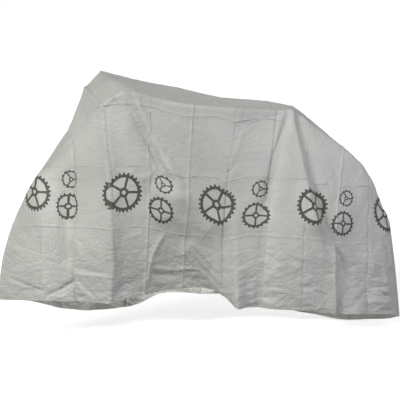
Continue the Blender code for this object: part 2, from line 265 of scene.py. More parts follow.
# Short folds with a sharp line, from one place on the film to another, each with its depth (over 0 stands
# out) and how far its flanks reach, both in millimetres
Pleat = namedtuple("Pleat", "panel_a up_a panel_b up_b depth reach")
NEAR_PLEATS = listed(
    Pleat,
    # over the front corner and below the shoulder
    (3.06, 0.855, 3.28, 0.885, -3, 10),
    (3.1, 0.9, 3.38, 0.895, 2.6, 10),
    (3.05, 0.86, 3.05, 0.52, -5, 4),
    (3.05, 0.56, 3.04, 0.2, -4, 4),
    (3.5, 0.89, 3.86, 0.735, -9, 13),
    (3.83, 0.745, 4.38, 0.59, -10, 13),
    (3.58, 0.9, 3.97, 0.745, 9, 13),
    (3.94, 0.755, 4.56, 0.59, 9, 15),
    # on the panel behind the corner
    (3.8, 0.53, 4.1, 0.58, 3.4, 10),
    (3.95, 0.46, 4.08, 0.55, -4.3, 10),
    (3.1, 0.6, 3.6, 0.585, -2.6, 10),
    (3.5, 0.545, 3.95, 0.555, 2.6, 10),
    (3.45, 0.33, 3.48, 0.21, 2, 10),
    (3.7, 0.34, 3.72, 0.23, -2.6, 10),
    (3.05, 0.045, 3.95, 0.1, -5.1, 16),
    # from the waist to the hem in front of the middle
    (4.42, 0.32, 4.15, 0.21, 9.5, 8),
    (4.16, 0.22, 4.05, 0.07, 9.5, 8),
    (4.54, 0.29, 4.42, 0.21, 3.1, 9),
    (4.1, 0.15, 5.02, 0.172, 5.6, 6),
    (4.1, 0.12, 4.9, 0.14, -5, 9),
    (4.15, 0.085, 4.8, 0.1, 2.6, 8),
    (4.8, 0.235, 5.02, 0.242, 3.4, 8),
    (4.82, 0.168, 5.02, 0.172, 3.7, 8),
    (4.55, 0.4, 5.05, 0.28, -6.8, 30),
    # across the raised part of the hem
    (5, 0.26, 5.15, 0.255, 3.1, 8),
    (5, 0.175, 5.45, 0.168, 6, 6),
    (5.42, 0.17, 6, 0.08, 7, 7),
    (5.3, 0.24, 6, 0.12, 5.6, 7),
    (5.2, 0.29, 6, 0.17, 5, 7),
    (5.1, 0.14, 5.95, 0.05, -6, 12),
    (5.95, 0.44, 5.5, 0.33, 8.5, 30),
    (5.4, 0.3, 5.9, 0.25, -4.3, 20),
    # along the step
    (6, 0.7, 6.22, 0.62, 3.1, 8),
    (5.98, 0.63, 6.2, 0.69, -3.1, 8),
    (6.24, 0.84, 6.14, 0.71, 2.6, 7),
    (6.03, 0.56, 6.12, 0.45, -3.4, 9),
    (6.08, 0.4, 6.05, 0.27, -5.1, 10),
    (6.5, 0.13, 6.9, 0.135, -5.1, 10),
    (6.6, 0.12, 6.62, 0.01, -5.1, 14),
    # arcs below the peak and wrinkles at its hem
    (7.05, 0.115, 7.3, 0.19, 4.1, 10),
    (7.3, 0.19, 7.62, 0.212, 4.1, 10),
    (7.62, 0.212, 7.9, 0.185, 3.4, 10),
    (7.1, 0.085, 7.4, 0.155, -3.4, 9),
    (7.4, 0.155, 7.85, 0.165, -3.4, 9),
    (7.05, 0.085, 7.9, 0.095, 3.1, 9),
    (7.04, 0.045, 7.42, 0.062, -5.8, 11),
    (7.1, 0.03, 7.32, 0.02, 3.4, 8),
    (7.92, 0.215, 8.18, 0.15, -3.6, 14),
    (7.88, 0.105, 8.35, 0.098, -3.7, 10),
    (7.82, 0.16, 7.78, 0.02, -2.7, 10),
    # from the peak down
    (7.4, 0.92, 7.08, 0.72, -8, 9),
    (7.08, 0.74, 7, 0.5, -6, 9),
    (7.6, 0.9, 7.92, 0.72, -6, 9),
    (6.7, 0.875, 7.25, 0.905, -5, 10),
    # behind the peak
    (8.04, 0.74, 8.55, 0.63, -5.1, 18),
    (8.1, 0.66, 8.45, 0.57, 3.1, 12),
    (8.02, 0.7, 8, 0.52, 2.7, 6),
    (8.3, 0.71, 8.8, 0.69, -2.4, 10),
    # in and behind the rear valley
    (9.15, 0.31, 9.12, 0.18, -6.8, 18),
    (9.2, 0.28, 9.5, 0.17, -5.9, 16),
    (9.45, 0.15, 9.75, 0.08, 5.1, 14),
    (9.25, 0.06, 9.7, 0.09, 3.7, 12),
    (10.1, 0.24, 10.3, 0.14, 4.1, 10),
    (10.25, 0.27, 10.5, 0.16, -4.4, 10),
    (10.05, 0.15, 10.55, 0.075, -5.8, 12),
    (10.45, 0.22, 10.75, 0.08, 5.1, 10),
    (10, 0.055, 10.7, 0.06, 5.1, 11),
    (10.3, 0.1, 10.9, 0.03, -5.1, 10),
    (10.55, 0.36, 10.8, 0.24, -5.1, 12),
    # low on the front panels
    (0.15, 0.105, 1.15, 0.035, -7, 6),
    (1.2, 0.022, 2.05, 0.095, -7, 6),
    (2.02, 0.12, 2.95, 0.125, 5, 6),
    (2.1, 0.1, 2.6, 0.02, -6, 6),
    (0.15, 0.285, 0.55, 0.225, -5.1, 18),
    (0.45, 0.315, 0.62, 0.285, -3.7, 12),
    (0.2, 0.235, 0.45, 0.215, 3.1, 12),
    (0.1, 0.07, 0.52, 0.05, -4.8, 10),
    (0.52, 0.05, 1.02, 0.036, -4.8, 10),
    (1.02, 0.08, 1.3, 0.05, 2.7, 9),
    (1.52, 0.04, 2.02, 0.088, -5.8, 12),
    (2.02, 0.085, 2.25, 0.045, 3.7, 10),
    (2.05, 0.022, 2.5, 0.006, -5.1, 10),
    (2.12, 0.285, 2.7, 0.17, -2.7, 16),
    (2.1, 0.24, 2.48, 0.15, 2.7, 14),
    (2.5, 0.26, 2.9, 0.18, 2.4, 14),
    (2.1, 0.15, 3, 0.13, -3.1, 10),
    (2.35, 0.105, 2.98, 0.115, 2.4, 10),
    (0.3, 0.13, 1, 0.14, 2.4, 10),
)
FAR_PLEATS = listed(
    Pleat,
    (3.05, 0.86, 3.4, 0.93, -5.1, 12),
    (3.6, 0.95, 4, 0.8, 5.1, 14),
    (3.95, 0.8, 4.6, 0.6, -6.1, 18),
    (4.05, 0.62, 4.3, 0.45, 4.4, 12),
    (4.4, 0.3, 4.2, 0.08, -6.1, 14),
    (3.1, 0.12, 3.9, 0.16, 4.1, 11),
    (4.6, 0.19, 5.4, 0.15, -4.4, 11),
    (5.1, 0.26, 5.8, 0.3, 3.4, 10),
    (5.6, 0.1, 6.1, 0.05, 5.1, 12),
    (6.05, 0.34, 6.3, 0.1, -6.1, 14),
    (6.55, 0.55, 6.7, 0.36, 3.4, 10),
    (7.35, 0.97, 7.05, 0.68, -5.8, 14),
    (7.55, 0.95, 7.75, 0.66, 5.1, 16),
    (7.85, 0.9, 8.4, 0.55, -5.8, 16),
    (7.1, 0.16, 7.9, 0.2, 4.4, 11),
    (7.2, 0.07, 7.8, 0.05, -4.8, 10),
    (8.3, 0.3, 8.6, 0.08, -6.1, 14),
    (8.9, 0.42, 9.3, 0.24, 4.8, 14),
    (9.2, 0.12, 9.9, 0.09, -4.4, 11),
    (9.9, 0.3, 10.4, 0.14, 5.1, 12),
    (10.2, 0.06, 10.8, 0.1, -5.1, 10),
    (0.3, 0.3, 0.8, 0.2, -4.8, 16),
    (1.2, 0.07, 1.9, 0.1, 4.4, 10),
    (2.1, 0.25, 2.8, 0.16, -3.7, 14),
    (1.1, 0.46, 1.6, 0.33, 3.4, 14),
    (2.2, 0.62, 2.75, 0.5, -3.1, 14),
)

# How widely the film is rounded over each ridge, in rows of points
Bend = namedtuple("Bend", "panel near far")
BENDS = listed(
    Bend,
    (0, 3, 2),
    (0.8, 13, 2.5),
    (2.4, 16, 3),
    (2.9, 4, 3),
    (3.02, 0.2, 3),
    (3.6, 0.2, 2),
    (4.5, 4, 3),
    (7, 3.5, 3),
    (7.5, 2.5, 2),
    (8.5, 4, 3),
    (11, 4, 3),
)
BEND_PASSES = 300
BEND_PULL = 0.9
WIDEST_BEND = 18.0

# The film breaks over the front of the top strip along a line from the near front corner to the far shoulder,
# which lifts it forwards and up
CAP_LINE_A, CAP_LINE_B = 3.0, 3.5
CAP_WIDTH = 0.60
CAP_LIFT_X, CAP_LIFT_Z = -12.18 * MM, 7 * MM

# Pleats and wrinkles: the bow, the run past each end and the fade there are shares of the length, the radius
# of the crest and the film that moves on either side are in reaches
PLEAT_BOW = 0.08
PLEAT_OVERRUN = 0.12
PLEAT_FADE = 0.35
PLEAT_CREST = 0.3
PLEAT_SPAN = 6

# The random wrinkles of each side: how many, their sizes in metres and the height below which all are level
WRINKLE_COUNT = 700
WRINKLE_LENGTHS = (0.03, 0.15)
WRINKLE_REACHES = (0.003, 0.007)
WRINKLE_LEVEL_BELOW = 0.30

# How far the rows of facets bend, and over what length, in facets
FACET_SWAY, FACET_BEND = 0.45, 1.7
FLUTE_HEIGHT = 0.22  # how far up from the hem the film swings, in metres

# Creases blend over the middle of the top, in rows of points, and fade at the two ends, in panels
BLEND_ROWS = 12
FRONT_FADE, REAR_FADE = 0.35, 0.25

# The printed band: where the first cog of each kind lies on the film, its radius and how many teeth and arms
# it has. The parts of a cog are shares of its radius.
Cog = namedtuple("Cog", "start height radius teeth arms")
COGS = listed(
    Cog,
    (0.16, 0.482, 0.088, 26, 5),
    (0.335, 0.422, 0.060, 18, 4),
    (0.345, 0.542, 0.040, 12, 3),
)
COG_PITCH = 0.44
COG_ROOT, COG_RIM, COG_HUB, COG_BORE, COG_ARM = 0.90, 0.74, 0.24, 0.10, 0.055
TOOTH_EDGE = 0.8 * MM
INK_EDGE = 1.5 * MM

# The fine relief of the film. Each swell and groove has a scale, a stretch up the film and a depth.
GRAIN_DEPTH = 0.03 * MM
CRINKLE_DEPTH = 1.0 * MM
CREASED_SWELLS = ((30.0, 1.0, 2.4 * MM), (70.0, 1.7, 1.0 * MM))
GROOVES = ((13.0, 1.5, 1.1 * MM), (30.0, 1.3, 0.6 * MM))
LINE_WIDTH = 0.004
LINE_DEPTH = 1.6 * MM
# Painted shade: the dark grey that the pressed crease lines are tinted towards, standing in for the shade in
# their grooves
CREASE_SHADE_COLOUR = (0.2, 0.2, 0.2, 1.0)

# The stage
WHITE = (1.0, 1.0, 1.0, 1.0)
CAMERA_TARGET = (-0.029, SIDE_SHIFT, 0.59)
FLOOR_SIZE = 60.0
LIGHT_TARGET = (0.0, 0.0, 0.6)
LIGHT_DISTANCE = 4.5
INNER_PLACE = (0.02, 0.0, 0.50)
INNER_RADIUS = 0.4  # where the light inside the bag has its stated brightness
AMBIENT_FROM = (0.15, -0.95, -0.15)
ROOM_BEHIND = (0.32, 0.93, 0.16)


def number(name, description, default, **limits):
    """A setting that is a plain number."""
    return FloatProperty(name=name, description=description, default=default, **limits)


def length(name, description, default, **limits):
    """A setting that is a length in metres."""
    return number(name, description, default, unit="LENGTH", **limits)


def angle(name, description, degrees):
    """A setting that is an angle."""
    return number(name, description, math.radians(degrees), subtype="ANGLE")


def colour(name, description, default):
    """A setting that is a colour."""
    limits = {"subtype": "COLOR", "size": 4, "min": 0.0, "max": 1.0}
    return FloatVectorProperty(name=name, description=description, default=default, **limits)


class CoverSettings(bpy.types.PropertyGroup):
    """Sizes and colours of the film"""

    film_colour: colour("Film colour", "Silver-grey of the bare film", (0.590, 0.590, 0.565, 1.0))
    print_colour: colour("Print colour", "Charcoal ink of the printed band", (0.095, 0.093, 0.080, 1.0))
    film_thickness: length("Film thickness", "Thickness as modelled", 0.0008, min=0.0003, max=0.003)
    roughness: number("Roughness", "Roughness of the satin face of the film", 0.42, min=0.05, max=1.0)
    crumple: length("Crumple", "Depth of the soft dents left by packing", 0.0046, min=0.0, max=0.01)
    wrinkle: length("Wrinkle", "Depth of the short pressed wrinkles", 0.0044, min=0.0, max=0.01)


class StageSettings(bpy.types.PropertyGroup):
    """Camera, floor and lights, whose amounts are shares of full brightness"""

    azimuth: angle("Azimuth", "Turn of the camera about the cover, from in front of its near side", -13.5)
    elevation: angle("Elevation", "Height of the camera above the horizon", 7.5)
    distance: length("Distance", "From the camera to the point it circles", 7.0, min=1.0)
    lens: number("Lens", "Focal length, in millimetres", 136.7, min=10.0)
    floor_height: length("Floor height", "Height of the floor, just below the hem", -0.006)
    key_light: number("Key light", "Soft light from the front left", 0.64, min=0.0)
    fill_light: number("Fill light", "Bluish light from the right", 0.31, min=0.0)
    back_light: number("Back light", "Soft light from behind", 0.50, min=0.0)
    inner_light: number("Inner light", "Light inside, as if the film let light through", 1.00, min=0.0)
    ambient_light: number("Ambient light", "Light from all round", 0.22, min=0.0)
    room_light: number("Room light", "Pale patch behind, which the film reflects at its edges", 0.70, min=0.0)


def added(name, data):
    """A new object in the scene."""
    item = bpy.data.objects.new(name, data)
    bpy.context.scene.collection.objects.link(item)
    return item


def column(table, name):
    """One column of a table, as an array."""
    return np.array([getattr(row, name) for row in table])


def cubic(knots, values, places):
    """A monotone cubic through the knots, which never swings past them."""
    steps = np.diff(knots)
    slopes = np.diff(values) / steps
    tangents = np.concatenate(([slopes[0]], np.zeros(len(knots) - 2), [slopes[-1]]))
    for k in range(1, len(knots) - 1):
        before, after = slopes[k - 1], slopes[k]
        if before * after > 0:
            weight_before = 2 * steps[k] + steps[k - 1]
            weight_after = steps[k] + 2 * steps[k - 1]
            total = weight_before + weight_after
            tangents[k] = total / (weight_before / before + weight_after / after)
    k = np.clip(np.searchsorted(knots, places, side="right") - 1, 0, len(steps) - 1)
    step = steps[k]
    t = (places - knots[k]) / step
    rise = values[k + 1] - values[k]
    ease = t * t * (3 - 2 * t)
    lead = t * (1 - t) ** 2 * step * tangents[k]
    trail = t * t * (t - 1) * step * tangents[k + 1]
    return values[k] + rise * ease + lead + trail


def along(table, name, places):
    """One column of a table at the given panels, smooth between its sharp rows."""
    panels, values = column(table, "panel"), column(table, name)
    corners = [k for k, row in enumerate(table) if row.sharp]
    found = np.zeros(len(places))
    for first, last in zip(corners[:-1], corners[1:]):
        run = slice(first, last + 1)
        inside = (places >= panels[first]) & (places <= panels[last])
        found[inside] = cubic(panels[run], values[run], places[inside])
    return found


def between_rows(table, name, places):
    """One column of a table at the given panels, straight from row to row."""
    return np.interp(places, column(table, "panel"), column(table, name))


def smooth_step(value):
    """0 to 1 with a soft start and end."""
    value = np.clip(value, 0.0, 1.0)
    return value * value * (3 - 2 * value)


def track(table, part, axes, places):
    """Where one part of a table, such as its hem, lies at the given panels."""
    return np.stack([along(table, f"{part}_{axis}", places) for axis in axes], axis=-1)[:, None, :]


def relief(folds, panels, down):
    """How far the folds lift a wall at the given panels and shares of the way down it."""
    lift = np.zeros(np.broadcast(panels, down).shape)
    for fold in folds:
        run = (down - fold.down_a) / (fold.down_b - fold.down_a)
        centre = fold.panel_a + (fold.panel_b - fold.panel_a) * run
        share = np.clip(run, 0.0, 1.0)
        depth = (fold.depth_a + (fold.depth_b - fold.depth_a) * share) * MM
        width = fold.width_a + (fold.width_b - fold.width_a) * share
        across = np.clip(np.abs(panels - centre) / width, 0.0, 1.0)
        starts = smooth_step((down - fold.down_a) / FOLD_FADE + 1)
        ends = smooth_step((fold.down_b - down) / FOLD_FADE + 1)
        rounded = 0.5 + 0.5 * np.cos(np.pi * across)
        sharp = (1 - across) ** 2
        lift += depth * (rounded * (1 - fold.crisp) + sharp * fold.crisp) * starts * ends
    return lift


def wall(side, fall, folds, panels, down):
    """One side's points, as columns from its ridge (down is 0) to its hem (down is 1)."""
    top = track(CREST, side, "xyz", panels)
    waist = track(fall, "waist", "xy", panels)
    hem = track(fall, "hem", "xyz", panels)
    from_top = (1 - down) * (1 - 2 * down)
    from_waist = 4 * down * (1 - down)
    from_hem = down * (2 * down - 1)
    x, y = (top[..., k] * from_top + waist[..., k] * from_waist + hem[..., k] * from_hem for k in (0, 1))
    z = top[..., 2] * (1 - down) + hem[..., 2] * down
    run_x, run_y = np.gradient(x, panels, axis=0), np.gradient(y, panels, axis=0)
    span = np.hypot(run_x, run_y)
    outward = -1.0 if side == "near" else 1.0
    edge_fade = smooth_step(panels)[:, None] * smooth_step(PANELS - panels)[:, None]
    lift = relief(folds, panels[:, None], down) * edge_fade
    x = x - outward * lift * run_y / span
    y = y + outward * lift * run_x / span
    return np.stack([x, y, z], axis=-1)


def top_strip(near, far, panels, across):
    """The strip between the two ridges, sagging under its own weight."""
    sag = along(CREST, "sag", panels)[:, None]
    points = near[:, None, :] * (1 - across)[None, :, None] + far[:, None, :] * across[None, :, None]
    points[..., 2] -= sag * np.sin(np.pi * across**SAG_SKEW)
    off = np.abs(panels[:, None] - CAP_LINE_A - (CAP_LINE_B - CAP_LINE_A) * across) / CAP_WIDTH
    break_line = np.clip(1 - off, 0, 1) * np.sin(np.pi * across)
    points[..., 0] += break_line * CAP_LIFT_X
    points[..., 2] += break_line * CAP_LIFT_Z
    return points


def rounded_ridges(points, panels):
    """Draws the points over each ridge into a bend, as wide as the table says."""
    rows = np.arange(points.shape[1])[None, :]
    near = between_rows(BENDS, "near", panels)[:, None]
    far = between_rows(BENDS, "far", panels)[:, None]
    near_pull = np.exp(-(((rows - NEAR_RIDGE) / near) ** 2)) * (near / WIDEST_BEND) ** 2
    far_pull = np.exp(-(((rows - FAR_RIDGE) / far) ** 2)) * (far / WIDEST_BEND) ** 2
    pull = np.maximum(near_pull, far_pull)[:, 1:-1, None] * BEND_PULL
    for _ in range(BEND_PASSES):
        between = (points[:, :-2] + points[:, 2:]) / 2
        points[:, 1:-1] += (between - points[:, 1:-1]) * pull
    return points


def film_heights(points):
    """How far up the film each point lies, from the hem of its own side to the middle of the top."""
    steps = np.linalg.norm(np.diff(points, axis=1), axis=2)
    near = np.cumsum(steps[:, :MIDDLE], axis=1)
    far = np.cumsum(steps[:, :MIDDLE - 1:-1], axis=1)[:, ::-1]
    none = np.zeros((len(points), 1))
    return np.concatenate([none, near], axis=1), np.concatenate([far, none], axis=1)


def outward_normals(points):
    """Unit normals of the grid, away from the inside of the bag."""
    along_film = np.gradient(points, axis=0)
    over_film = np.gradient(points, axis=1)
    for row, top in ((NEAR_RIDGE, 1), (FAR_RIDGE, -1)):  # the wall and the top each keep their own slope
        over_film[:, row] = top * (points[:, row] - points[:, row - top])
        over_film[:, row + top] = top * (points[:, row + 2 * top] - points[:, row + top])
    normals = np.cross(along_film, over_film)
    return normals / np.maximum(np.linalg.norm(normals, axis=2, keepdims=True), 1e-12)


def lattice(seed, x, y):
    """Random heights from -1 to 1 on a grid of squares, and the square that each point lies in."""
    x, y = x - x.min(), y - y.min()
    heights = np.random.default_rng(seed).uniform(-1, 1, (int(x.max()) + 3, int(y.max()) + 3))
    i, j = x.astype(int), y.astype(int)
    return heights, i, j, x - i, y - j


def ripple(seed, along_film, up_film, step_along, step_up):
    """Smooth random swells from -1 to 1, with bumps of the given size."""
    heights, i, j, s, t = lattice(seed, along_film / step_along, up_film / step_up)
    s, t = smooth_step(s), smooth_step(t)
    low = heights[i, j] * (1 - s) + heights[i + 1, j] * s
    high = heights[i, j + 1] * (1 - s) + heights[i + 1, j + 1] * s
    return low * (1 - t) + high * t


def facets(seed, along_film, up_film, size):
    """Flat facets with sharp edges between them, from -1 to 1, in bent rows of triangles."""
    bend = FACET_BEND * size
    sway = FACET_SWAY * ripple(seed, along_film, up_film, bend, bend)
    swell = FACET_SWAY * ripple(seed + 1, along_film, up_film, bend, bend)
    x, y = along_film / size + sway, up_film / size + swell
    heights, i, j, s, t = lattice(seed + 2, x + 0.5 * y, 1.15 * y)
    low, high = heights[i, j], heights[i + 1, j + 1]
    right, left = heights[i + 1, j], heights[i, j + 1]
    under = low + (right - low) * s + (high - right) * t
    over = low + (high - left) * s + (left - low) * t
    return np.where(s > t, under, over)


def crumpling(seed, along_film, up_film, depth):
    """Packing leaves the film crumpled in facets, more so towards the hem."""
    low = smooth_step((0.42 - up_film) / 0.36)
    taut = 0.5 * smooth_step((up_film - 0.55) / 0.15)
    swell = ripple(seed, along_film, up_film, 0.15, 0.20)
    broad = facets(seed + 3, along_film, up_film, 0.085)
    small = facets(seed + 6, along_film, 0.8 * up_film, 0.040)
    level = facets(seed + 9, 0.45 * along_film, up_film, 0.022)
    crumples = broad * (0.50 + 0.14 * low) + small * (0.24 + 0.12 * low) + level * (0.04 + 0.12 * low)
    return depth * (0.9 * swell + crumples * (1 - taut))


def press(lift, film_x, film_y, start, end, depth, reach):
    """Presses one sharp fold into the lifts, along a slightly bowed line."""
    (x, y), (run_x, run_y) = start, (end[0] - start[0], end[1] - start[1])
    long = math.hypot(run_x, run_y)
    around = reach * PLEAT_SPAN
    low_x, high_x = min(x, x + run_x) - around, max(x, x + run_x) + around
    low_y, high_y = min(y, y + run_y) - around, max(y, y + run_y) + around
    near_by = (film_x > low_x) & (film_x < high_x) & (film_y > low_y) & (film_y < high_y)
    dx, dy = film_x[near_by] - x, film_y[near_by] - y
    run = (dx * run_x + dy * run_y) / long**2
    off = (dy * run_x - dx * run_y) / long + PLEAT_BOW * long * (run * (1 - run) - 0.125)
    starts, ends = ((place + PLEAT_OVERRUN) / PLEAT_FADE for place in (run, 1 - run))
    crest = PLEAT_CREST * reach
    profile = np.exp((crest - np.hypot(off, crest)) / reach)
    lift[near_by] += depth * profile * smooth_step(starts) * smooth_step(ends)


def wrinkles(seed, pleats, side, film_x, film_y, depth):
    """The pleats of the table, and short random wrinkles: level near the hem, level and upright above."""
    lift = np.zeros(film_x.shape)
    for fold in pleats:
        start, end = (fold.panel_a * PANEL_WIDTH, fold.up_a), (fold.panel_b * PANEL_WIDTH, fold.up_b)
        press(lift, film_x, film_y, start, end, fold.depth * MM, fold.reach * MM)
    random = np.random.default_rng(seed)
    for _ in range(WRINKLE_COUNT):
        x = random.uniform(0, PANELS * PANEL_WIDTH)
        y = FLAT_HEIGHT * random.uniform(0, 1) ** 2.0
        low = y < WRINKLE_LEVEL_BELOW
        turn = random.normal(0.0, 0.40) + (0.0 if low else random.choice((0.0, 1.4)))
        long = random.uniform(*WRINKLE_LENGTHS)
        reach = random.uniform(*WRINKLE_REACHES)
        tall = depth * random.uniform(0.2, 1.0) * random.choice((-1, 1)) * (0.85 if low else 0.40)
        tall *= between_rows(RUMPLES, side, x / PANEL_WIDTH)
        end = (x + long * math.cos(turn), y + long * math.sin(turn))
        press(lift, film_x, film_y, (x, y), end, tall, reach)
    return lift


def packing(uprights, panels, along_film, up_film):
    """The grid of packing creases: each cell of the film tilts a little between them."""
    knots = np.arange(PANELS + 1)
    steps = {name: np.array([0, *column(uprights, name) * MM, 0]) for name in Upright._fields}
    low, middle, high = (np.interp(panels, knots, steps[name]) for name in ("low", "middle", "high"))
    first, second = (smooth_step((up_film - LEVELS[k].height) / ROW_BLEND / 2 + 0.5) for k in (1, 2))
    lift = low * (1 - first) + middle * first * (1 - second) + high * second
    nearest = np.round(panels).astype(int)
    off = np.abs(panels - nearest) * PANEL_WIDTH
    inside = (panels > 0.5) & (panels < PANELS - 0.5)
    line, line_high = steps["line"][nearest], steps["line_high"][nearest]
    lift = lift + (line + (line_high - line) * second) * np.exp(-off / LINE_REACH) * inside
    for k, level in enumerate(LEVELS):
        off = np.abs(up_film - level.height - LINE_WAVER * ripple(70 + k, along_film, up_film, 0.25, 3.0))
        strength = 0.75 + 0.5 * ripple(80 + k, along_film, up_film, 0.2, 3.0)
        lift = lift + level.swing * MM * strength * np.clip(1 - off / LEVEL_REACH, 0, 1)
        lift = lift + level.line * MM * strength * np.exp(-off / LINE_REACH)
    return lift


def flutes(seed, along_film, up_film):
    """The free hem swings in and out a little."""
    reach = np.clip(1 - up_film / FLUTE_HEIGHT, 0, 1) ** 2
    wide = 0.005 * ripple(seed, along_film, up_film, 0.11, 3.0)
    narrow = 0.002 * ripple(seed + 1, along_film, up_film, 0.04, 3.0)
    return reach * (wide + narrow)


def draped(panels):
    """The film as it hangs, before its creases: columns from front to rear, each from hem to hem."""
    down = np.linspace(0.0, 1.0, WALL_ROWS + 1)[None, :]
    near = wall("near", NEAR_FALL, NEAR_FOLDS, panels, down)
    far = wall("far", FAR_FALL, FAR_FOLDS, panels, down)
    across = np.linspace(0.0, 1.0, 2 * TOP_ROWS + 1)[1:-1]
    strip = top_strip(near[:, 0], far[:, 0], panels, across)
    points = np.concatenate([near[:, ::-1], strip, far], axis=1) + (0.0, SIDE_SHIFT, 0.0)
    return rounded_ridges(points, panels)


def creased(points, panels, film_x, near_up, far_up, settings):
    """The draped film with its packing creases, crumples and pleats."""
    lifts = []
    for side, seed, up, uprights, pleats in (
        ("near", 100, near_up, NEAR_UPRIGHTS, NEAR_PLEATS),
        ("far", 200, far_up, FAR_UPRIGHTS, FAR_PLEATS),
    ):
        x = np.broadcast_to(film_x, up.shape)
        share = between_rows(RUMPLES, side, panels)
        lift = packing(uprights, panels, x, up) + crumpling(seed, x, up, settings.crumple) * share
        lift = lift + wrinkles(seed + 10, pleats, side, x, up, settings.wrinkle)
        lifts.append(lift + flutes(seed + 20, x, up))
    lift = np.zeros(points.shape[:2])
    lift[:, :MIDDLE + 1] = lifts[0]
    lift[:, MIDDLE:] = lifts[1]
    shared = (lifts[0][:, -1] + lifts[1][:, 0])[:, None] / 2
    rows = np.arange(points.shape[1])[None, :]
    near_middle = smooth_step(1 - np.abs(rows - MIDDLE) / BLEND_ROWS)
    lift = lift * (1 - near_middle) + shared * near_middle
    fade = smooth_step(panels / FRONT_FADE) * smooth_step((PANELS - panels) / REAR_FADE)
    return points + outward_normals(points) * (lift * fade)[..., None]


def cover_surface(settings):
    """The whole cover as a grid of points, and where each lies on the flat film."""
    steps = np.arange(PANELS * COLUMNS_PER_PANEL + 1) / COLUMNS_PER_PANEL
    panels = steps - COLUMN_CROWDING * np.sin(2 * np.pi * steps) / (2 * np.pi)
    points = draped(panels)
    near_up, far_up = film_heights(points)
    tuck = between_rows(NEAR_TUCKS, "length", panels)
    near_up = near_up + smooth_step(tuck / DEEPEST_TUCK)[:, None] * DEEPEST_TUCK
    panels = panels[:, None]
    film_x = panels * PANEL_WIDTH
    return creased(points, panels, film_x, near_up, far_up, settings), film_x, near_up, far_up


def bake_chart(columns, rows, rim_faces, corners):
    """Where each corner of the sheet lies on the chart for baking: outside, inside and rim apart."""
    x, y = np.meshgrid(np.linspace(0.01, 0.99, columns), np.linspace(0.0, 1.0, rows), indexing="ij")
    outside, inside = (np.stack([x, low + tall * y], axis=-1) for low, tall in ((0.30, 0.69), (0.01, 0.25)))
    chart = np.concatenate([outside.reshape(-1, 2), inside.reshape(-1, 2)])[corners]
    place = np.linspace(0.01, 0.99, rim_faces + 1)
    left, right = place[:-1], place[1:]
    strip = np.stack([
        np.stack([right, left, left, right], axis=1),
        np.broadcast_to([0.285, 0.285, 0.272, 0.272], (rim_faces, 4)),
    ], axis=-1).reshape(-1, 2)
    chart[-len(strip):] = strip
    return chart


def half_cover(name, points, normals, film_x, up, thickness, material):
    """One side of the cover, from its hem to the middle of the top, as a closed thin sheet."""
    columns, rows = points.shape[:2]
    count = columns * rows
    outer = points.reshape(-1, 3)
    inner = (points - normals * thickness).reshape(-1, 3)
    index = np.arange(count).reshape(columns, rows)
    a, b = index[:-1, :-1].ravel(), index[1:, :-1].ravel()
    c, d = index[1:, 1:].ravel(), index[:-1, 1:].ravel()
    front = np.stack([a, b, c, d], axis=1)
    back = np.stack([a, d, c, b], axis=1) + count
    loop = np.concatenate([index[:, 0], index[-1, 1:], index[-2::-1, -1], index[0, -2::-1]])
    here, there = loop[:-1], loop[1:]
    rim = np.stack([there, here, here + count, there + count], axis=1)
    mesh = bpy.data.meshes.new(name)
    mesh.from_pydata(np.concatenate([outer, inner]), [], np.concatenate([front, back, rim]))

    corners = np.zeros(len(mesh.loops), int)
    mesh.loops.foreach_get("vertex_index", corners)
    film = np.stack(np.broadcast_arrays(film_x, up), axis=-1).reshape(-1, 2)
    film = np.concatenate([film, film])[corners]
    chart = bake_chart(columns, rows, len(rim), corners)
    for layer, places in (("film", film), ("OFBake", chart)):
        mesh.uv_layers.new(name=layer).uv.foreach_set("vector", places.astype(np.float32).ravel())

    mesh.shade_smooth()
    both = np.concatenate([normals.reshape(-1, 3), -normals.reshape(-1, 3)])
    mesh.normals_split_custom_set_from_vertices(both.tolist())
    mesh.materials.append(material)
    return added(name, mesh)


class Net:
    """Adds nodes to a node tree and joins them up."""

    def __init__(self, tree):
        self.tree = tree

    def node(self, kind, inputs=(), **settings):
        made = self.tree.nodes.new(kind)
        for name, value in settings.items():
            setattr(made, name, value)
        self.fill(made, inputs)
        return made

    def fill(self, node, inputs):
        """Joins each input to a socket of another node or sets it to a value."""
        for name, value in dict(inputs).items():
            if isinstance(value, bpy.types.NodeSocket):
                self.tree.links.new(value, node.inputs[name])
            else:
                node.inputs[name].default_value = value

    def math(self, operation, *values):
        return self.node("ShaderNodeMath", enumerate(values), operation=operation).outputs[0]

    def plus(self, first, second):
        return self.math("ADD", first, second)

    def minus(self, first, second):
        return self.math("SUBTRACT", first, second)

    def times(self, first, second):
        return self.math("MULTIPLY", first, second)

    def ramp(self, value, start, end, low=0.0, high=1.0):
        """Value from start to end brought smoothly to low to high."""
        inputs = {"Value": value, "From Min": start, "From Max": end, "To Min": low, "To Max": high}
        return self.node("ShaderNodeMapRange", inputs, interpolation_type="SMOOTHSTEP").outputs[0]

    def noise(self, place, scale, detail=2.0, roughness=0.5, output=0):
        inputs = {"Vector": place, "Scale": scale, "Detail": detail, "Roughness": roughness}
        return self.node("ShaderNodeTexNoise", inputs, noise_dimensions="2D").outputs[output]

    def vector(self, operation, *values, output="Vector"):
        return self.node("ShaderNodeVectorMath", enumerate(values), operation=operation).outputs[output]

    def stretched(self, place, up):
        return self.vector("MULTIPLY", place, (1.0, up, 1.0))

    def blend(self, share, low, high):
        """One colour brought to another by a share."""
        return self.node("ShaderNodeMix", {0: share, 6: low, 7: high}, data_type="RGBA").outputs[2]


def new_material(name):
    """A material with nodes, the net of its tree and its shader."""
    material = bpy.data.materials.new(name)
    material.use_nodes = True
    return material, Net(material.node_tree), material.node_tree.nodes["Principled BSDF"]


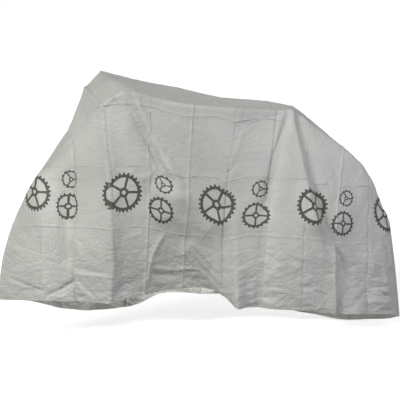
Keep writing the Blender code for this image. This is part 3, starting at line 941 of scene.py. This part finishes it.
def cog(net, x, y, kind):
    """Where a plain toothed cog with open arms is printed, as 0 to 1."""
    radius = kind.radius
    reach = net.math("SQRT", net.plus(net.times(x, x), net.times(y, y)))
    turn = net.math("ARCTAN2", y, x)
    wave = net.math("SINE", net.times(turn, float(kind.teeth)))
    tooth = net.ramp(wave, -0.5, 0.5, COG_ROOT * radius, radius)
    inside = net.ramp(net.minus(tooth, reach), -TOOTH_EDGE, TOOTH_EDGE)
    rim = net.ramp(reach, COG_RIM * radius, COG_RIM * radius + INK_EDGE)
    hub = net.ramp(reach, COG_HUB * radius, COG_HUB * radius + INK_EDGE, 1.0, 0.0)
    bore = net.ramp(reach, COG_BORE * radius, COG_BORE * radius + INK_EDGE)
    swing = net.math("ABSOLUTE", net.math("SINE", net.times(turn, kind.arms / 2)))
    arm_off = net.times(net.times(swing, reach), 2.0 / kind.arms)
    arm = net.ramp(arm_off, COG_ARM * radius, COG_ARM * radius + INK_EDGE, 1.0, 0.0)
    body = net.math("MAXIMUM", rim, net.math("MAXIMUM", hub, arm))
    return net.times(net.times(body, bore), inside)


def printed_band(net, film_x, film_y):
    """A generic band of plain toothed cogs in three sizes, staggered up and down."""
    printed = 0.0
    for kind in COGS:
        from_first = net.minus(film_x, kind.start - COG_PITCH / 2)
        beside = net.minus(net.math("FLOORED_MODULO", from_first, COG_PITCH), COG_PITCH / 2)
        printed = net.math("MAXIMUM", printed, cog(net, beside, net.minus(film_y, kind.height), kind))
    return printed


def pressed_lines(net, place, film_x, film_y):
    """Where the lines of the packing creases show, in patches, as 0 to 1."""
    panel = net.math("DIVIDE", film_x, PANEL_WIDTH)
    off = net.times(net.math("ABSOLUTE", net.minus(panel, net.math("ROUND", panel))), PANEL_WIDTH)
    line = net.ramp(off, 0.0, LINE_WIDTH, 1.0, 0.0)
    waver = net.times(net.minus(net.noise(net.stretched(place, 0.0), 5.0), 0.5), 0.012)
    wavy_y = net.plus(film_y, waver)
    for level in LEVELS[1:]:
        gap = net.math("ABSOLUTE", net.minus(wavy_y, level.height))
        line = net.math("MAXIMUM", line, net.ramp(gap, 0.0, LINE_WIDTH, 1.0, 0.0))
    return net.times(line, net.ramp(net.noise(place, 14.0), 0.38, 0.62))


def film_relief(net, place, film_y, line):
    """The height of the embossed grain, the fine crinkles and the pressed lines, in metres."""
    grain = net.times(net.noise(place, 750.0, 1.0), GRAIN_DEPTH)
    height = net.times(net.noise(net.stretched(place, 1.6), 60.0, 3.0, 0.55), CRINKLE_DEPTH)
    for scale, stretch, depth in CREASED_SWELLS:
        swell = net.noise(net.stretched(place, stretch), scale)
        crease = net.math("ABSOLUTE", net.minus(swell, 0.5))
        height = net.plus(height, net.times(crease, depth))
    lower = net.ramp(film_y, 0.15, 0.42, 1.0, 0.35)
    sway = net.noise(place, 9.0, output="Color")
    bent = net.vector("MULTIPLY_ADD", sway, (0.05, 0.05, 0.0), place)
    for scale, stretch, depth in GROOVES:
        inputs = {"Vector": net.stretched(bent, stretch), "Scale": scale}
        settings = {"voronoi_dimensions": "2D", "feature": "DISTANCE_TO_EDGE"}
        edge = net.node("ShaderNodeTexVoronoi", inputs, **settings).outputs["Distance"]
        groove = net.times(net.times(net.ramp(edge, 0.0, 0.16), lower), depth)
        height = net.plus(height, groove)
    return net.plus(net.plus(grain, height), net.times(line, LINE_DEPTH))


def film_material(settings):
    """Thin satin film with its embossed grain, crinkles, pressed lines (darkened a little as painted shade)
    and printed band.
    """
    material, net, shader = new_material("film")
    net.fill(shader, {"Metallic": 0.0, "IOR": 1.46, "Specular IOR Level": 0.35})
    place = net.node("ShaderNodeUVMap", uv_map="film").outputs[0]
    film_x, film_y = net.node("ShaderNodeSeparateXYZ", {0: place}).outputs[:2]

    line = pressed_lines(net, place, film_x, film_y)
    worn = net.ramp(net.noise(place, 260.0, 3.0), 0.30, 0.45, 0.80, 1.0)
    ink = net.times(printed_band(net, film_x, film_y), worn)
    ink = net.times(ink, net.minus(1.0, net.times(line, 0.3)))

    bare = settings.film_colour[:3]
    darker, lighter = ([min(1.0, share * c) for c in bare] + [1.0] for share in (0.95, 1.05))
    cloud = net.noise(net.stretched(place, 0.7), 6.0, 4.0)
    tint = net.blend(net.ramp(cloud, 0.3, 0.7), darker, lighter)
    # Painted shade: the pressed lines are darkened a tenth of the way to dark grey, for the shade in the
    # creases
    tint = net.blend(net.times(line, 0.10), tint, CREASE_SHADE_COLOUR)
    coloured = net.blend(ink, tint, list(settings.print_colour))
    smooth, dull = settings.roughness - 0.05, settings.roughness + 0.07
    sheen = net.ramp(net.noise(place, 40.0, 3.0), 0.3, 0.7, smooth, dull)
    rough = net.plus(sheen, net.times(ink, 0.12))
    height = film_relief(net, place, film_y, line)
    bump = net.node("ShaderNodeBump", {"Strength": 1.0, "Distance": 1.0, "Height": height})
    net.fill(shader, {"Base Color": coloured, "Roughness": rough, "Normal": bump.outputs[0]})
    return material


class COVER_OT_film(bpy.types.Operator):
    """Make the near half and the far half of the draped film"""

    bl_idname = "bicycle_cover.film"
    bl_label = "Film"
    bl_options = {"REGISTER", "UNDO"}

    def execute(self, context):
        settings = context.scene.bicycle_cover
        points, film_x, near_up, far_up = cover_surface(settings)
        normals = outward_normals(points)
        material = film_material(settings)
        for name, part, up in (
            ("cover_near_half", slice(0, MIDDLE + 1), near_up),
            ("cover_far_half", slice(MIDDLE, None), far_up),
        ):
            thickness = settings.film_thickness
            half = half_cover(name, points[:, part], normals[:, part], film_x, up, thickness, material)
            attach(half, "root")
            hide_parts("cover")
        return {"FINISHED"}


def aim(item, place, target):
    """Puts a camera or a light in its place, facing the target."""
    item.location = place
    item.rotation_euler = (target - place).to_track_quat("-Z", "Y").to_euler()


def make_camera(scene, settings):
    """The camera, on its circle about the cover."""
    a, e = settings.azimuth, settings.elevation
    back = Vector((math.sin(a) * math.cos(e), -math.cos(a) * math.cos(e), math.sin(e)))
    middle = Vector(CAMERA_TARGET)
    camera = added("camera", bpy.data.cameras.new("camera"))
    camera.data.lens = settings.lens
    camera.data.sensor_width = 36.0
    camera.data.shift_y = 0.02
    aim(camera, middle + back * settings.distance, middle)
    scene.camera = camera


def make_floor(height):
    """A plain pale floor that fades into the white of the studio."""
    mesh = bpy.data.meshes.new("floor")
    far = FLOOR_SIZE / 2
    corners = [(x * far, y * far, height) for x, y in ((-1, -1), (1, -1), (1, 1), (-1, 1))]
    mesh.from_pydata(corners, [], [(0, 1, 2, 3)])
    floor = added("floor", mesh)
    material, net, shader = new_material("floor")
    net.fill(shader, {"Base Color": (0.85, 0.85, 0.85, 1.0), "Roughness": 0.9, "Emission Color": WHITE})
    place = net.node("ShaderNodeNewGeometry").outputs["Position"]
    away = net.vector("LENGTH", place, output="Value")
    net.fill(shader, {"Emission Strength": net.ramp(away, 1.6, 4.5, 0.62, 1.0)})
    mesh.materials.append(material)
    floor.visible_diffuse = False
    floor.visible_glossy = False


def soft_light(name, direction, size, share, tint):
    """A large soft light that gives the given share of full brightness at the cover."""
    light = bpy.data.lights.new(name, "AREA")
    light.shape = "DISK"
    light.size = size
    light.energy = share * math.pi**2 * LIGHT_DISTANCE**2
    light.color = tint
    item = added(name, light)
    middle = Vector(LIGHT_TARGET)
    aim(item, middle + Vector(direction).normalized() * LIGHT_DISTANCE, middle)
    return item


def make_lights(settings):
    """Three soft lights around the cover and one inside it."""
    soft_light("key_light", (-0.65, -0.54, 0.53), 1.6, settings.key_light, (1.0, 0.99, 0.96))
    back_light = soft_light("back_light", (-0.50, 0.86, 0.0), 1.1, settings.back_light, (0.96, 0.98, 1.0))
    back_light.visible_glossy = False
    soft_light("fill_light", (0.70, -0.58, 0.43), 2.2, settings.fill_light, (0.90, 0.95, 1.0))

    inner = bpy.data.lights.new("inner_light", "POINT")
    inner.shadow_soft_size = 0.1
    inner.energy = settings.inner_light * 4 * math.pi**2 * INNER_RADIUS**2
    added("inner_light", inner).location = INNER_PLACE


def make_world(scene, settings):
    """A white studio that lights the cover less than it looks: from in front, and from a patch behind."""
    world = bpy.data.worlds.new("studio")
    world.use_nodes = True
    net = Net(world.node_tree)
    shown = world.node_tree.nodes["Background"]
    net.fill(shown, {"Color": WHITE, "Strength": 1.0})
    towards = net.node("ShaderNodeTexCoord").outputs["Generated"]
    ahead = net.vector("DOT_PRODUCT", towards, AMBIENT_FROM, output="Value")
    dim, bright = 0.40 * settings.ambient_light, 1.15 * settings.ambient_light
    behind = net.vector("DOT_PRODUCT", towards, ROOM_BEHIND, output="Value")
    room = net.ramp(behind, 0.90, 0.99, 0.0, settings.room_light)
    strength = net.plus(net.ramp(ahead, -0.7, 0.7, dim, bright), room)
    ambient = net.node("ShaderNodeBackground", {"Color": WHITE, "Strength": strength})
    seen = net.node("ShaderNodeLightPath").outputs["Is Camera Ray"]
    mix = net.node("ShaderNodeMixShader", {0: seen, 1: ambient.outputs[0], 2: shown.outputs[0]})
    net.fill(world.node_tree.nodes["World Output"], {"Surface": mix.outputs[0]})
    scene.world = world


class COVER_OT_stage(bpy.types.Operator):
    """Make the camera, the floor and the lights"""

    bl_idname = "bicycle_cover.stage"
    bl_label = "Stage"
    bl_options = {"REGISTER", "UNDO"}

    def execute(self, context):
        settings = context.scene.bicycle_cover_stage
        scene = context.scene
        make_camera(scene, settings)
        make_floor(settings.floor_height)
        make_lights(settings)
        make_world(scene, settings)
        scene.view_settings.view_transform = "Standard"
        return {"FINISHED"}


class COVER_PT_panel(bpy.types.Panel):
    """Settings and steps of the bicycle cover"""

    bl_idname = "COVER_PT_panel"
    bl_label = "Bicycle Cover"
    bl_space_type = "VIEW_3D"
    bl_region_type = "UI"
    bl_category = "Cover"

    def draw(self, context):
        for settings, step in (
            (context.scene.bicycle_cover, "bicycle_cover.film"),
            (context.scene.bicycle_cover_stage, "bicycle_cover.stage"),
        ):
            box = self.layout.box()
            for name in settings.__annotations__:
                box.prop(settings, name)
            box.operator(step)


CLASSES = (CoverSettings, StageSettings, COVER_OT_film, COVER_OT_stage, COVER_PT_panel)


def register():
    for item in CLASSES:
        bpy.utils.register_class(item)
    bpy.types.Scene.bicycle_cover = PointerProperty(type=CoverSettings)
    bpy.types.Scene.bicycle_cover_stage = PointerProperty(type=StageSettings)


def unregister():
    del bpy.types.Scene.bicycle_cover_stage
    del bpy.types.Scene.bicycle_cover
    for item in reversed(CLASSES):
        bpy.utils.unregister_class(item)


def main():
    register()
    bpy.ops.bicycle_cover.stage()
    bpy.ops.bicycle_cover.film()
    bpy.context.view_layer.update()


if __name__ == "__main__":
    main()
